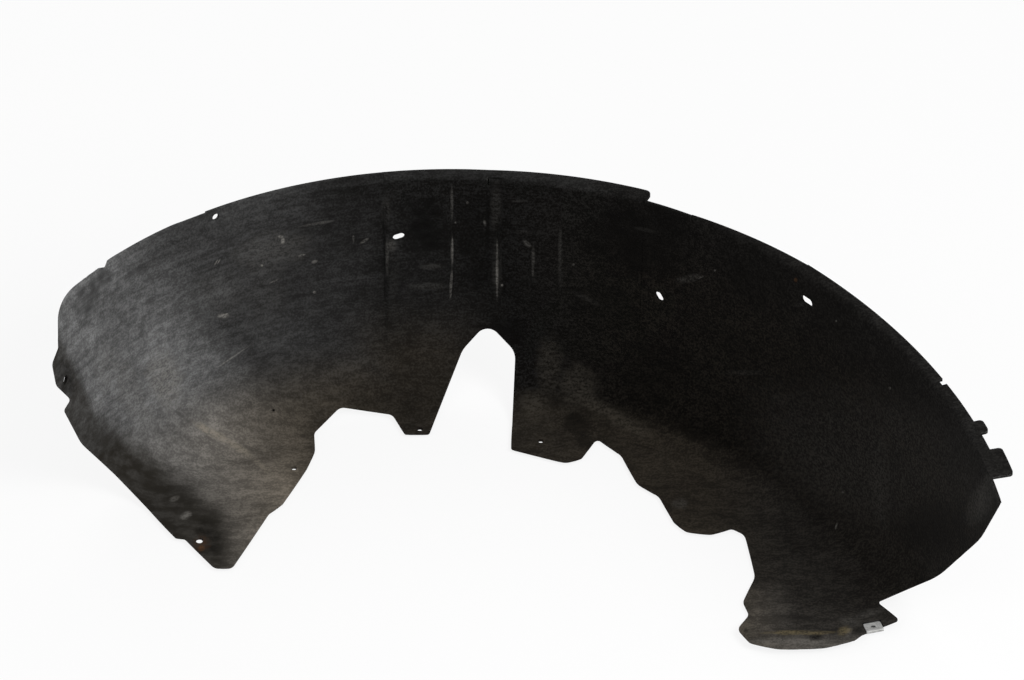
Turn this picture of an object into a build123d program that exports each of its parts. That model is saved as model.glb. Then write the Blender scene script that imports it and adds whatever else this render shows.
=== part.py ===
from build123d import *
import os
from math import cos, degrees, hypot, radians, sin

# Wheel arch liner: one sheet of needled felt, pressed over a die, trimmed and punched, with a spring-steel
# clip nut pushed over the edge of its foot. The part rests on its flat inboard wall. While it is drawn, the
# wheel's axle stands on Z at the origin, X runs along the car and Y points to the crown of the arch.
# Lengths are mm, and angles are degrees about the axle, counted from X.

# Pressed sheet
FELT = 3.0
ARCH_RADIUS = 396.0  # wheel side of the roof, carried down to the inboard wall
ARCH_DEPTH = 234.0  # inboard wall to the rim
ROOF_LEAN = 18.0  # how far the roof opens out between the inboard wall and the rim
CORNER_RADIUS = 50.0  # roof to inboard wall, on the wheel side
WALL_REACH = 200.0  # how far the inboard wall is pressed in from the roof, before trimming

# Extent of the pressing
LEFT_LIMIT = 154.0
FLARE_START = 48.0  # here the roof leaves the circle for a wider one
FLARE_SHIFT = 257.0  # the wider circle's centre, past the axle from the start of the flare
FLARE_LIMIT = 8.0

# Rim
PLAIN_RIM_RISE = 6.0  # the left part of the rim stands up instead of turning out
LIP_WIDTH = 11.4
FLARE_LIP_WIDTH = 12.0
LIP_BEND = 2.0
LIP_LEFT = 98.5
LIP_RIGHT = 13.4
LIP_GROWTH = ((58.5, 3.6), (50.0, 7.2), (41.0, 12.5))  # angle and width where the flare's lip begins
FLAP_GROWTH = ((85.5, 11.4), (75.0, 14.6), (65.0, 17.4))  # angle and width along the flap
FLAP_ROUND = 6.0  # its free corner
SLIT_WIDTH = 1.5  # blind slit between the lip and the flap, in the wheel side of the bend
SLIT_CUT = 1.5
SLIT_LENGTH = 8.0

# Tabs on the flare's lip: angle about the flare's centre, length along the rim, and reach past the lip
TABS = ((19.5, 18.0, 8.0), (14.9, 40.0, 10.7))
TAB_ROUND = 4.0

# Nick in the flare's lip: angle about the flare's centre, length along the rim, and depth
LIP_NICK = (25.7, 8.5, 4.5)

# Pads pressed towards the wheel: left and right angle, low and high edge
PADS = ((98.6, 90.0, 92.0, 220.0), (84.0, 75.8, 100.0, 212.0))
PAD_RISE = 5.0
PAD_RUNOUT = 18.0  # over this length each pad rises from its low and high edge
PAD_BEVEL = 3.5  # along its sides

# Foot: its end is stepped up, which leaves room for the clip nut's lower leaf
FOOT_STEP = 4.0
STEP_ARC = ((236.0, 70.0), (318.0, 42.0), (398.0, 81.0))

# Trim die, which looks down on the part at this slope. Its corners are given from the axle as the distance
# across, the distance up the die and the corner's round.
DIE_SLOPE = 36.87
DIE_STROKE = 600.0
DIE_MARGIN = 80.0
RIGHT_END = (
    (492.5, 144.0, 6.0),
    (474.5, 109.0, 45.0),
    (438.5, 74.0, 54.0),
    (385.0, 50.5, 1.5),
)
FOOT = (
    (405.0, 34.5, 2.5),
    (370.0, 21.0, 3.5),
    (363.5, 16.5, 4.0),
    (336.5, 9.5, 54.0),
    (294.0, 8.5, 54.0),
    (269.0, 14.0, 8.0),
    (257.5, 26.5, 5.0),
    (268.5, 39.0, 4.0),
    (263.0, 50.5, 6.0),
    (274.5, 73.0, 10.0),
    (265.5, 110.5, 8.0),
)
BROAD_LOBE = (
    (254.0, 116.0, 7.0),
    (235.0, 110.5, 18.0),
    (212.5, 113.0, 12.0),
    (201.5, 121.5, 8.0),
    (188.0, 145.0, 12.0),
    (168.5, 156.0, 12.0),
    (154.0, 182.0, 12.0),
)
RIGHT_LOBE = (
    (132.0, 197.0, 4.5),
    (118.0, 179.0, 5.0),
    (104.0, 175.0, 18.0),
    (54.0, 187.5, 2.0),
)
NOTCH = (
    (58.0, 276.5, 17.0),
    (32.5, 303.0, 12.0),
    (10.0, 278.5, 27.0),
)
LEFT_LOBE = (
    (-20.5, 201.0, 2.5),
    (-42.5, 201.0, 2.5),
    (-54.0, 219.0, 8.0),
    (-101.5, 226.0, 9.0),
    (-125.0, 202.5, 5.5),
    (-124.0, 185.5, 12.0),
)
LEFT_FOOT = (
    (-131.5, 169.5, 20.0),
    (-153.0, 138.0, 7.0),
    (-165.5, 129.0, 7.0),
    (-198.0, 80.5, 7.0),
    (-214.0, 80.5, 9.0),
    (-241.0, 106.5, 4.0),
    (-249.5, 107.5, 4.0),
)
LEFT_END = (
    (-305.0, 165.0, 108.0),
    (-335.0, 193.5, 27.0),
    (-350.0, 223.5, 4.0),
    (-344.0, 233.5, 3.5),
    (-356.5, 246.0, 8.0),
    (-360.0, 265.5, 12.0),
    (-354.5, 280.0, 6.0),
)
# Upper left corner, from its round over a nick to the edge's end on the rim: places in plan at the rim's
# height, and rounds
RIM_CORNERS = (
    (-354.5, 229.5, 42.0),
    (-318.5, 275.0, 2.0),
    (-312.8, 276.5, 1.5),
    (-310.5, 287.5, 2.0),
    (-289.0, 317.0, 60.0),
    (-223.0, 358.8, 0.0),
)

# Fixing holes in the roof: angle, height, length, width, tilt from the rim
ROOF_SLOTS = (
    (96.8, 174.5, 11.0, 6.5, 16.0),
    (62.4, 138.0, 10.0, 6.5, -55.0),
    (39.2, 207.0, 15.0, 8.0, 0.0),
    (148.6, 155.0, 8.5, 6.0, 60.0),
)
ROOF_HOLE = (121.0, 232.0)
ROOF_HOLE_DIAMETER = 6.8

# Fixing holes in the inboard wall, in plan
WALL_HOLES = ((-29.0, 340.0), (81.0, 322.0), (-143.0, 281.0))
WALL_HOLE_DIAMETER = 5.5
FOOT_HOLE = (-228.0, 173.0)
FOOT_HOLE_LENGTH = 9.0
FOOT_HOLE_WIDTH = 6.0

# Clip nut: where its screw stands, in plan, and the way it is turned
CLIP_CENTRE = (380.5, 40.0)
CLIP_TURN = 17.0
CLIP_STEEL = 0.7
CLIP_WIDTH = 16.0
CLIP_EDGE = 4.5  # screw to the foot's edge
CLIP_TOP = 6.0  # screw to the upper leaf's end
CLIP_BOTTOM = 8.0  # screw to the lower leaf's end
CLIP_BEND = 1.0
CLIP_CLEARANCE = 0.15
CLIP_THREAD = 4.2
CLIP_CORNER = 1.5
SEAT_FELT = 1.6  # the felt is pressed hard under the clip nut
SEAT_CLEARANCE = 1.0  # round the clip nut, in the pressed seat
SCREW_CLEARANCE = 6.5

# Worked out from the sizes above
AXLE = (0, 0, 0)
FLAP_LEFT = FLAP_GROWTH[0][0]
FLAP_RIGHT, FLAP_WIDTH = FLAP_GROWTH[-1]
FOOT_TOP = FOOT_STEP + FELT
SEAT_TOP = FOOT_STEP + SEAT_FELT
DIE = Plane(
    origin=(0, 0, 0),
    x_dir=(1, 0, 0),
    z_dir=(0, -cos(radians(DIE_SLOPE)), sin(radians(DIE_SLOPE))),
)
FLARE_CENTRE = (-FLARE_SHIFT * cos(radians(FLARE_START)), -FLARE_SHIFT * sin(radians(FLARE_START)), 0)
CLIP_SIDE = Vector(cos(radians(CLIP_TURN)), sin(radians(CLIP_TURN)), 0)
CLIP_PLAN = Plane(origin=(*CLIP_CENTRE, 0), x_dir=CLIP_SIDE, z_dir=(0, 0, 1))


def out_from(centre, angle, height=0.0):
    """A level plane at a centre, with its X pointing out at an angle."""
    return Plane(
        origin=(centre[0], centre[1], height),
        x_dir=(cos(radians(angle)), sin(radians(angle)), 0),
        z_dir=(0, 0, 1),
    )


def upright(centre, angle):
    """An upright plane through a centre: its X points out at an angle and its Y is up."""
    return Plane(
        origin=centre,
        x_dir=(cos(radians(angle)), sin(radians(angle)), 0),
        z_dir=(sin(radians(angle)), -cos(radians(angle)), 0),
    )


def roof_radius(height):
    """Distance from the axle to the roof's wheel side."""
    return ARCH_RADIUS + ROOF_LEAN * height / ARCH_DEPTH


def rim_place(angle, width):
    """A place in plan on the rim, at an angle and a lip's width."""
    reach = roof_radius(ARCH_DEPTH) + width
    return (reach * cos(radians(angle)), reach * sin(radians(angle)))


def roof_plane(angle, height):
    """A plane on the roof's wheel side that faces the axle, with its X along the rim."""
    out = Vector(cos(radians(angle)), sin(radians(angle)), 0)
    return Plane(
        origin=out * roof_radius(height) + Vector(0, 0, height),
        x_dir=(sin(radians(angle)), -cos(radians(angle)), 0),
        z_dir=Vector(0, 0, ROOF_LEAN / ARCH_DEPTH) - out,
    )


def rim_corner(across, out, round_radius):
    """A corner of the trim die over a place in plan at the rim's height."""
    local = DIE.to_local_coords(Vector(across, out, ARCH_DEPTH))
    return (local.X, local.Y, round_radius)


def felt_section(plane, shift, rim, lip):
    """The sheet's section from the inboard wall to the rim, drawn along the middle of the felt."""
    half = FELT / 2
    top = rim - half if lip else rim
    points = [
        (shift + ARCH_RADIUS - WALL_REACH, half),
        (shift + ARCH_RADIUS + half, half),
        (shift + roof_radius(rim) + half, top),
    ]
    rounds = [CORNER_RADIUS + half]
    if lip:
        points.append((shift + roof_radius(rim) + lip, top))
        rounds.append(LIP_BEND + half)
    with BuildSketch(plane) as section:
        with BuildLine():
            FilletPolyline(*points, radius=rounds)
        trace(line_width=FELT)
    return section.sketch


def pad_block(pad, front, back, inset):
    """A block over a pad's outline, from front in from the roof's wheel side to back behind it."""
    left, right, low, high = pad
    swing = degrees(inset / ARCH_RADIUS)
    rise = (front + inset) * PAD_RUNOUT / PAD_RISE
    fall = (back - inset) * PAD_RUNOUT / PAD_RISE
    corners = ((back, low - fall), (-front, low + rise), (-front, high - rise), (back, high + fall))
    with BuildPart() as block:
        with BuildSketch(upright(AXLE, right + swing)):
            with BuildLine():
                Polyline(*[(roof_radius(height) + depth, height) for depth, height in corners], close=True)
            make_face()
        revolve(axis=Axis.Z, revolution_arc=left - right - 2 * swing)
        sides = block.edges().filter_by(GeomType.LINE)
        sides = sides.sort_by(lambda e: hypot(e.center().X, e.center().Y) - roof_radius(e.center().Z))
        chamfer(sides[:-2], length=PAD_BEVEL)
    return block.part


def beyond_lip(growth):
    """The felt past a lip's edge, which runs through three angles and widths."""
    first, last = growth[0], growth[-1]
    with BuildSketch(Plane.XY.offset(ARCH_DEPTH)) as waste:
        with BuildLine():
            ThreePointArc(*[rim_place(*place) for place in growth])
            Polyline(
                rim_place(*last),
                rim_place(last[0], DIE_MARGIN),
                rim_place(first[0], DIE_MARGIN),
                rim_place(*first),
            )
        make_face()
    return waste.sketch


SECTORS = (
    (AXLE, 0, LEFT_LIMIT, LIP_LEFT, ARCH_DEPTH + PLAIN_RIM_RISE, 0),
    (AXLE, 0, LIP_LEFT, FLAP_LEFT, ARCH_DEPTH, LIP_WIDTH),
    (AXLE, 0, FLAP_LEFT, FLAP_RIGHT, ARCH_DEPTH, FLAP_WIDTH),
    (AXLE, 0, FLAP_RIGHT, LIP_GROWTH[0][0], ARCH_DEPTH, 0),
    (AXLE, 0, LIP_GROWTH[0][0], FLARE_START, ARCH_DEPTH, FLARE_LIP_WIDTH),
    (FLARE_CENTRE, FLARE_SHIFT, FLARE_START, LIP_RIGHT, ARCH_DEPTH, FLARE_LIP_WIDTH),
    (FLARE_CENTRE, FLARE_SHIFT, LIP_RIGHT, FLARE_LIMIT, ARCH_DEPTH, 0),
)

# The liner
with BuildPart() as liner_shell:
    # Roof, rim lip and inboard wall, sector by sector round the axle and then the flare's centre
    for centre, shift, left, right, rim, lip in SECTORS:
        section = felt_section(upright(centre, right), shift, rim, lip)
        revolve(section, axis=Axis(centre, (0, 0, 1)), revolution_arc=left - right)

    # The lip and the flap widen along the rim. The flap's free corner is rounded, and its other end is slit.
    for growth in (LIP_GROWTH, FLAP_GROWTH):
        extrude(beyond_lip(growth), amount=-3 * FELT, mode=Mode.SUBTRACT)
    corner = Vector(*rim_place(FLAP_RIGHT, FLAP_WIDTH), ARCH_DEPTH)
    fillet(liner_shell.edges().filter_by(Axis.Z).sort_by_distance(corner)[0], radius=FLAP_ROUND)
    with BuildSketch(out_from(AXLE, FLAP_LEFT, ARCH_DEPTH)):
        with Locations((roof_radius(ARCH_DEPTH), 0)):
            Rectangle(2 * SLIT_CUT, SLIT_WIDTH, align=(Align.CENTER, Align.MAX))
    extrude(amount=-SLIT_LENGTH, mode=Mode.SUBTRACT)

    # Tabs on the flare's lip
    for angle, length, reach in TABS:
        with BuildSketch(out_from(FLARE_CENTRE, angle, ARCH_DEPTH - FELT)) as tab:
            with Locations((FLARE_SHIFT + roof_radius(ARCH_DEPTH) + FLARE_LIP_WIDTH, 0)):
                Rectangle(2 * reach, length)
            fillet(tab.vertices().group_by(Axis.X)[-1], radius=TAB_ROUND)
        extrude(amount=FELT)

    # Nick in the flare's lip
    nick_angle, nick_length, nick_depth = LIP_NICK
    with BuildSketch(out_from(FLARE_CENTRE, nick_angle, ARCH_DEPTH)):
        with Locations((FLARE_SHIFT + roof_radius(ARCH_DEPTH) + FLARE_LIP_WIDTH, 0)):
            Rectangle(2 * nick_depth, nick_length)
    extrude(amount=-FELT, mode=Mode.SUBTRACT)

    # Stepped end of the foot
    with BuildSketch() as step:
        with BuildLine():
            ThreePointArc(*STEP_ARC)
            Polyline(
                STEP_ARC[-1],
                (STEP_ARC[-1][0] + DIE_MARGIN, -DIE_MARGIN),
                (STEP_ARC[0][0] - DIE_MARGIN, -DIE_MARGIN),
                STEP_ARC[0],
            )
        make_face()
    extrude(amount=FOOT_TOP)
    with BuildSketch():
        offset(step.sketch, amount=-FELT)
    extrude(amount=FOOT_STEP, mode=Mode.SUBTRACT)

    # Pads, raised on the wheel side and hollow behind
    for pad in PADS:
        add(pad_block(pad, PAD_RISE, FELT / 2, 0))
        add(pad_block(pad, PAD_RISE - FELT, 2 * FELT, FELT), mode=Mode.SUBTRACT)

    # Trimmed edge
    with BuildSketch(DIE):
        corners = (
            *[rim_corner(*corner) for corner in RIM_CORNERS],
            (RIM_CORNERS[-1][0], ARCH_RADIUS + ARCH_DEPTH, 0),
            (RIGHT_END[0][0] + DIE_MARGIN, ARCH_RADIUS + ARCH_DEPTH, 0),
            (RIGHT_END[0][0] + DIE_MARGIN, RIGHT_END[0][1], 0),
            *RIGHT_END,
            *FOOT,
            *BROAD_LOBE,
            *RIGHT_LOBE,
            *NOTCH,
            *LEFT_LOBE,
            *LEFT_FOOT,
            *LEFT_END,
        )
        with BuildLine():
            FilletPolyline(*[c[:2] for c in corners], radius=[c[2] for c in corners], close=True)
        make_face()
    extrude(amount=DIE_STROKE, both=True, mode=Mode.INTERSECT)

    # Fixing holes in the roof
    for angle, height, length, width, tilt in ROOF_SLOTS:
        with BuildSketch(roof_plane(angle, height)):
            SlotOverall(length, width, rotation=tilt)
        extrude(amount=3 * FELT, both=True, mode=Mode.SUBTRACT)
    with BuildSketch(roof_plane(*ROOF_HOLE)):
        Circle(ROOF_HOLE_DIAMETER / 2)
    extrude(amount=3 * FELT, both=True, mode=Mode.SUBTRACT)

    # Fixing holes in the inboard wall
    with BuildSketch():
        with Locations(*WALL_HOLES):
            Circle(WALL_HOLE_DIAMETER / 2)
        with Locations(FOOT_HOLE):
            SlotOverall(FOOT_HOLE_LENGTH, FOOT_HOLE_WIDTH, rotation=90)
    extrude(amount=3 * FELT, mode=Mode.SUBTRACT)

    # Seat of the clip nut: a straight stretch of the foot's edge, pressed thin, and the screw's clear hole
    seat_width = CLIP_WIDTH + 2 * SEAT_CLEARANCE
    with BuildSketch(CLIP_PLAN):
        with Locations((0, -CLIP_EDGE)):
            Rectangle(seat_width, DIE_MARGIN, align=(Align.CENTER, Align.MAX))
        Circle(SCREW_CLEARANCE / 2)
    extrude(amount=2 * FOOT_TOP, mode=Mode.SUBTRACT)
    with BuildSketch(CLIP_PLAN.offset(SEAT_TOP)):
        with Locations((0, -CLIP_EDGE)):
            Rectangle(seat_width, CLIP_EDGE + CLIP_TOP + SEAT_CLEARANCE, align=(Align.CENTER, Align.MIN))
    extrude(amount=FELT, mode=Mode.SUBTRACT)

# The clip nut: a strip of spring steel folded round the foot's edge
with BuildPart() as clip_nut:
    gap = CLIP_CLEARANCE + CLIP_STEEL / 2
    with BuildSketch(Plane(origin=(*CLIP_CENTRE, 0), x_dir=CLIP_PLAN.y_dir, z_dir=CLIP_SIDE)):
        with BuildLine():
            FilletPolyline(
                (CLIP_TOP, SEAT_TOP + gap),
                (-CLIP_EDGE - CLIP_BEND, SEAT_TOP + gap),
                (-CLIP_EDGE - CLIP_BEND, FOOT_STEP - gap),
                (CLIP_BOTTOM, FOOT_STEP - gap),
                radius=CLIP_BEND,
            )
        trace(line_width=CLIP_STEEL)
    extrude(amount=CLIP_WIDTH / 2, both=True)
    leaf_ends = clip_nut.edges().filter_by(Axis.Z)
    leaf_ends = leaf_ends.filter_by(lambda e: CLIP_PLAN.to_local_coords(e.center()).Y > 0)
    fillet(leaf_ends, radius=CLIP_CORNER)
    with BuildSketch(CLIP_PLAN):
        Circle(CLIP_THREAD / 2)
    extrude(amount=2 * FOOT_TOP, mode=Mode.SUBTRACT)

# The finished part stands with the middle of its footprint at the origin
box = liner_shell.part.bounding_box()
stand = Location((-box.center().X, -box.center().Y, -box.min.Z))
liner_shell.part.move(stand)
clip_nut.part.move(stand)

liner_shell.part.label = "liner_shell"
clip_nut.part.label = "clip_nut"

os.makedirs("parts", exist_ok=True)
export_step(liner_shell.part, "parts/liner_shell.step")
export_step(clip_nut.part, "parts/clip_nut.step")
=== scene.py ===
import logging
import math
from dataclasses import dataclass
from enum import Enum
from typing import Any, NamedTuple, Sequence

import bpy
import numpy as np
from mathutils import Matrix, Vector


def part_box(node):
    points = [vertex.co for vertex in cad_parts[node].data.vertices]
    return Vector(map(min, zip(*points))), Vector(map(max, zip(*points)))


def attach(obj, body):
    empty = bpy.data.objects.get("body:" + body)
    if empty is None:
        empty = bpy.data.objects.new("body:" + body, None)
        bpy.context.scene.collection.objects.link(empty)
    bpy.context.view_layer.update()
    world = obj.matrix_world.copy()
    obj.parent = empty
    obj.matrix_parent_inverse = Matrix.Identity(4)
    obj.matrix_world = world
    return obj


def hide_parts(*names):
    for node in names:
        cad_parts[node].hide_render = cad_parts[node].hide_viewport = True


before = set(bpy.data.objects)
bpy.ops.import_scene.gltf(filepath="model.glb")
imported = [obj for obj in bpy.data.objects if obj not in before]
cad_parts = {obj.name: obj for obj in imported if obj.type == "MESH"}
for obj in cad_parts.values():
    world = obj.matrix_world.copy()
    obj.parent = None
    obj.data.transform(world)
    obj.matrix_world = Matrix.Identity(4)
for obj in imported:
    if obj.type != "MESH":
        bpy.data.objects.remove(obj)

LOG = logging.getLogger("wheel_arch_liner")
# The clip nut's middle, measured from the wheel's axle, m.
CLIP_FROM_AXLE = (0.380372, 0.040842)
# Shares of Y and Z along the trimming die's flat, which the camera looks straight at.
DIE_SLOPE = (0.6, 0.8)
MM_PER_M = 1000.0
WELD_GAP = 2e-6
TINY = 1e-12
WHITE = (1.0, 1.0, 1.0, 1.0)

Colour = tuple[float, float, float]
Pair = tuple[float, float]
Triple = tuple[float, float, float]


class Tone(Enum):
    """What a mark moves the felt under it towards, in the order the marks are laid."""

    LIGHT = "light"
    # Painted shade in creases, recesses and on faces turned from the light, and a few dark spots.
    DARK = "dark"
    RUST = "rust"
    MUD = "mud"
    WARM = "warm"


class Cut(Enum):
    """How many edges of a facet are halved, and the smaller facets that this leaves.

    v is a corner of the facet, and m the middle of the edge that starts there.
    """

    ONE = ("v0 m0 v2", "m0 v1 v2")
    TWO = ("m0 v1 m1", "v0 m0 m1", "v0 m1 v2")
    THREE = ("v0 m0 m2", "m0 v1 m1", "m2 m1 v2", "m0 m1 m2")


class Step(NamedTuple):
    """A smooth step from low at the start to high at the end, which may lie below the start."""

    start: float
    end: float
    low: float = 0.0
    high: float = 1.0


class Value:
    """A number that varies over a surface: a shader socket with Python's operators."""

    def __init__(self, graph: "ShaderGraph", socket: bpy.types.NodeSocket) -> None:
        """Keep the graph that owns the socket, and the socket."""
        self.graph = graph
        self.socket = socket

    def __add__(self, other: "Value | float") -> "Value":
        """Sum."""
        return self.graph.math("ADD", self, other)

    def __radd__(self, other: float) -> "Value":
        """Reflected sum."""
        return self.graph.math("ADD", other, self)

    def __sub__(self, other: "Value | float") -> "Value":
        """Difference."""
        return self.graph.math("SUBTRACT", self, other)

    def __rsub__(self, other: float) -> "Value":
        """Reflected difference."""
        return self.graph.math("SUBTRACT", other, self)

    def __mul__(self, other: "Value | float") -> "Value":
        """Product."""
        return self.graph.math("MULTIPLY", self, other)

    def __rmul__(self, other: float) -> "Value":
        """Reflected product."""
        return self.graph.math("MULTIPLY", other, self)

    def __pow__(self, other: "Value | float") -> "Value":
        """Power."""
        return self.graph.math("POWER", self, other)

    def over(self, other: "Value | float") -> "Value":
        """The larger of two numbers."""
        return self.graph.math("MAXIMUM", self, other)

    def ramp(self, step: Step) -> "Value":
        """The number that a smooth step gives for this reading.

        Args:
            step: the step, rising or falling.

        Returns:
            The stepped number.
        """
        start, end, low, high = step
        if end < start:
            start, end, low, high = end, start, high, low
        made = self.graph.node(
            "ShaderNodeMapRange",
            {"interpolation_type": "SMOOTHSTEP"},
            {"Value": self, "From Min": start, "From Max": end, "To Min": low, "To Max": high},
        )
        return Value(self.graph, made.outputs[0])


class ShaderGraph:
    """A node tree that is written from Python."""

    def __init__(self, tree: bpy.types.NodeTree) -> None:
        """Empty the tree and keep it."""
        self.tree = tree
        self.tree.nodes.clear()

    def node(
        self,
        kind: str,
        settings: dict[str, Any] | None = None,
        sockets: dict[str | int, Any] | None = None,
    ) -> bpy.types.Node:
        """Add one node.

        Args:
            kind: node type.
            settings: properties of the node, set first.
            sockets: numbers, colours, values or sockets for its inputs.

        Returns:
            The node.
        """
        made = self.tree.nodes.new(kind)
        for key, setting in (settings or {}).items():
            setattr(made, key, setting)
        for key, given in (sockets or {}).items():
            if isinstance(given, Value):
                given = given.socket
            if isinstance(given, bpy.types.NodeSocket):
                self.tree.links.new(given, made.inputs[key])
            else:
                made.inputs[key].default_value = given
        return made

    def math(self, operation: str, *terms: Value | float) -> Value:
        """One Math node on numbers."""
        made = self.node("ShaderNodeMath", {"operation": operation}, dict(enumerate(terms)))
        return Value(self, made.outputs[0])

    @staticmethod
    def weighed(values: Sequence[Value], weights: Sequence[float]) -> Value:
        """A weighted sum of numbers.

        Args:
            values: the numbers.
            weights: the weight of each.

        Returns:
            The sum.
        """
        total = values[0] * weights[0]
        for value, weight in zip(values[1:], weights[1:]):
            total = total + value * weight
        return total

    def mix(self, share: Value | float, first: Any, second: Any) -> bpy.types.NodeSocket:
        """Blend two colours.

        Args:
            share: 0 for the first colour, 1 for the second.
            first: colour or socket.
            second: colour or socket.

        Returns:
            The blended colour's socket.
        """
        inputs = {0: share, 6: self._rgba(first), 7: self._rgba(second)}
        made = self.node("ShaderNodeMix", {"data_type": "RGBA", "clamp_factor": True}, inputs)
        return made.outputs[2]

    def place(self) -> bpy.types.NodeSocket:
        """Object coordinates, m."""
        return self.node("ShaderNodeTexCoord").outputs["Object"]

    def stretched(self, place: bpy.types.NodeSocket, scale: Triple) -> bpy.types.NodeSocket:
        """Coordinates multiplied along each axis."""
        made = self.node("ShaderNodeVectorMath", {"operation": "MULTIPLY"}, {0: place, 1: scale})
        return made.outputs[0]

    def noise(
        self, place: bpy.types.NodeSocket, scale: float = 1.0, detail: float = 2.0
    ) -> Value:
        """Cloudy noise between about 0.25 and 0.75.

        Args:
            place: coordinates.
            scale: clouds per unit of the coordinates.
            detail: finer octaves on top.

        Returns:
            The noise.
        """
        sockets = {"Vector": place, "Scale": scale, "Detail": detail, "Roughness": 0.55}
        made = self.node("ShaderNodeTexNoise", {"noise_dimensions": "3D"}, sockets)
        return Value(self, made.outputs[0])

    def bump(self, height: Value, strength: float, distance: float) -> bpy.types.NodeSocket:
        """Normals that follow a relief.

        Args:
            height: the relief.
            strength: how much of it shows.
            distance: its depth, m.

        Returns:
            The normal's socket.
        """
        sockets = {"Strength": strength, "Distance": distance, "Height": height}
        return self.node("ShaderNodeBump", None, sockets).outputs[0]

    def principled(self, sockets: dict[str | int, Any]) -> None:
        """End the tree in one Principled shader."""
        made = self.node("ShaderNodeBsdfPrincipled", None, sockets)
        self.output("ShaderNodeOutputMaterial", made)

    def output(self, kind: str, shader: bpy.types.Node) -> None:
        """End the tree in a shader."""
        self.node(kind, None, {"Surface": shader.outputs[0]})

    @staticmethod
    def _rgba(colour: Any) -> Any:
        """Give a plain colour its alpha, and leave a socket as it is."""
        return (*colour, 1.0) if isinstance(colour, tuple) else colour


def new_material(name: str) -> tuple[bpy.types.Material, ShaderGraph]:
    """Add a material with an empty node tree.

    Args:
        name: the material's name.

    Returns:
        The material, and the graph that writes its nodes.
    """
    made = bpy.data.materials.new(name)
    made.use_nodes = True
    return made, ShaderGraph(made.node_tree)


@dataclass(frozen=True)
class SheetPlace:
    """Where a point of the sheet lies: object coordinates, and millimetres from the axle."""

    socket: bpy.types.NodeSocket
    across: Value
    forward: Value
    height: Value
    up: Value

    @classmethod
    def read(cls, graph: ShaderGraph, axle: Pair) -> "SheetPlace":
        """Measure a point from the axle.

        Args:
            graph: the felt's graph.
            axle: what is added to X and Y to measure from the axle, m.

        Returns:
            The place, with up along the trimming die's flat.
        """
        socket = graph.place()
        parts = graph.node("ShaderNodeSeparateXYZ", None, {0: socket})
        across = (Value(graph, parts.outputs[0]) + axle[0]) * MM_PER_M
        forward = (Value(graph, parts.outputs[1]) + axle[1]) * MM_PER_M
        height = Value(graph, parts.outputs[2]) * MM_PER_M
        up = forward * DIE_SLOPE[0] + height * DIE_SLOPE[1]
        return cls(socket, across, forward, height, up)


@dataclass(frozen=True)
class Mark:
    """A scuff, spot, stain, painted shade or painted highlight on the felt, placed in millimetres
    on the trimming die's flat.
    """

    across: float
    up: float
    width: float
    height: float
    tone: Tone
    strength: float
    turn: float = 0.0
    rim: float = 1.3
    core: float = 0.05

    def share(self, graph: ShaderGraph, place: SheetPlace, frayed: Value) -> Value:
        """How much of the mark shows at each point.

        Args:
            graph: the felt's graph.
            place: where the point lies.
            frayed: noise that frays the mark's rim.

        Returns:
            0 outside the mark, its strength in the middle.
        """
        cosine, sine = math.cos(math.radians(self.turn)), math.sin(math.radians(self.turn))
        along = self._axis(graph, place, (cosine / self.width, sine / self.width))
        aside = self._axis(graph, place, (-sine / self.height, cosine / self.height))
        far = graph.math("MULTIPLY_ADD", aside, aside, along * along)
        return (far + frayed).ramp(Step(self.rim, self.core, 0.0, self.strength))

    def _axis(self, graph: ShaderGraph, place: SheetPlace, slope: Pair) -> Value:
        """Distance from the mark's middle along one of its axes, in half lengths."""
        offset = -slope[0] * self.across - slope[1] * self.up
        risen = graph.math("MULTIPLY_ADD", place.up, slope[1], offset)
        return graph.math("MULTIPLY_ADD", place.across, slope[0], risen)


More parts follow.
